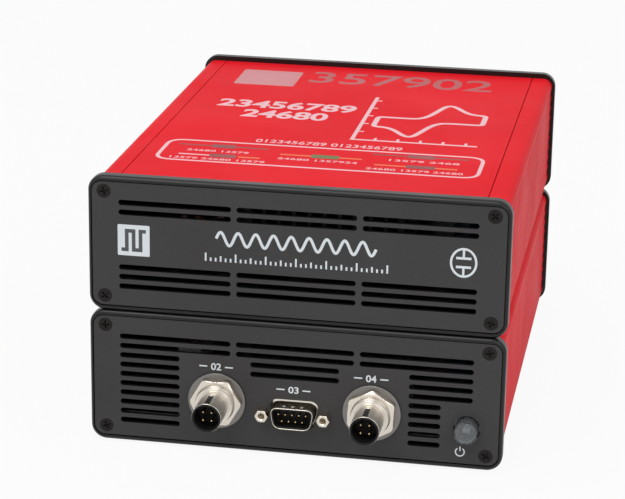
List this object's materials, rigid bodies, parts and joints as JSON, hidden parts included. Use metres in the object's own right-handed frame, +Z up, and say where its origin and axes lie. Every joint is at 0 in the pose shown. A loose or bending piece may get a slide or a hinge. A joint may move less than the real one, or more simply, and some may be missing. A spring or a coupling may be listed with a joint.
{
  "type": "potentiostat",
  "caption": "Bench potentiostat of stacked red extruded cases with dark vented front panels, round cell connectors, a D sense connector and a lit power button.",
  "frame": {"origin": "middle of the footprint at the height of the feet's undersides", "axes": "+Z up, +Y from the front panels to the rear, +X to the right seen from the front"},
  "size_m": [0.168, 0.238, 0.1132],
  "materials": {
    "red_anodised": "satin red anodised extrusion",
    "dark_panel": "dark grey fine-textured anodised plate",
    "black_bezel": "black moulded plastic, fine satin texture",
    "black_screw": "black oxide steel",
    "nickel": "nickel plated, bright turned",
    "washer_nickel": "nickel plated, satin",
    "gold_pin": "gold plated contact",
    "black_insert": "black moulded insulator",
    "clear_cap": "clear polished plastic",
    "grey_lamp": "frosted light guide",
    "board_black": "black solder mask with copper traces",
    "heatsink_black": "black anodised aluminium",
    "component_black": "moulded component package",
    "capacitor_sleeve": "dark blue sleeve, bare top",
    "choke_wire": "enamelled copper winding",
    "relay_white": "pale moulded cover",
    "ribbon_grey": "grey flat cable",
    "foot_rubber": "soft black rubber",
    "zinc_tie": "zinc plated steel"
  },
  "bodies": {
    "case": {"connector_board": "board_black", "counter_connector_insert": "black_insert", "counter_connector_nut": "nickel", "counter_connector_pins": "gold_pin", "counter_connector_shell": "nickel", "counter_connector_washer": "washer_nickel", "fan_screws": "black_screw", "link_headers": "component_black", "link_ribbon": "ribbon_grey", "lower_capacitors": "capacitor_sleeve", "lower_case_body": "red_anodised", "lower_chips": "component_black", "lower_circuit_board": "board_black", "lower_fan_frame": "black_insert", "lower_front_bezel": "black_bezel", "lower_front_panel": "dark_panel", "lower_front_screws": "black_screw", "lower_heatsink": "heatsink_black", "lower_lid": "red_anodised", "lower_power_transistors": "component_black", "lower_rear_bezel": "black_bezel", "lower_rear_panel": "dark_panel", "lower_rear_screws": "black_screw", "lower_relays": "relay_white", "power_inlet_body": "black_insert", "power_inlet_pin": "nickel", "power_lamp": "grey_lamp", "power_switch_body": "component_black", "rubber_feet": "foot_rubber", "sense_connector_insert": "black_insert", "sense_connector_pins": "gold_pin", "sense_connector_shell": "nickel", "sense_jackscrews": "nickel", "stack_screws": "zinc_tie", "stack_spacers": "zinc_tie", "upper_capacitors": "capacitor_sleeve", "upper_case_body": "red_anodised", "upper_chips": "component_black", "upper_chokes": "choke_wire", "upper_circuit_board": "board_black", "upper_fan_frame": "black_insert", "upper_front_bezel": "black_bezel", "upper_front_panel": "dark_panel", "upper_front_screws": "black_screw", "upper_heatsink": "heatsink_black", "upper_lid": "red_anodised", "upper_power_transistors": "component_black", "upper_rear_bezel": "black_bezel", "upper_rear_panel": "dark_panel", "upper_rear_screws": "black_screw", "usb_socket_shell": "nickel", "usb_socket_tongue": "relay_white", "working_connector_insert": "black_insert", "working_connector_nut": "nickel", "working_connector_pins": "gold_pin", "working_connector_shell": "nickel", "working_connector_washer": "washer_nickel"},
    "power_button": {"power_button_cap": "clear_cap"},
    "upper_fan": {"upper_fan_rotor": "black_insert"},
    "lower_fan": {"lower_fan_rotor": "black_insert"}
  },
  "joints": [
    {"name": "power_button_press", "type": "slide", "parent": "case", "child": "power_button", "axis": [0, 1, 0], "range_m": [0, 0.002], "stiffness_N_per_m": 600, "springref_m": -0.001},
    {"name": "upper_fan_spin", "type": "hinge", "parent": "case", "child": "upper_fan", "pos_m": [0.045, 0.10945, 0.0852], "axis": [0, 1, 0], "continuous": true},
    {"name": "lower_fan_spin", "type": "hinge", "parent": "case", "child": "lower_fan", "pos_m": [0.045, 0.10945, 0.0292], "axis": [0, 1, 0], "continuous": true}
  ]
}
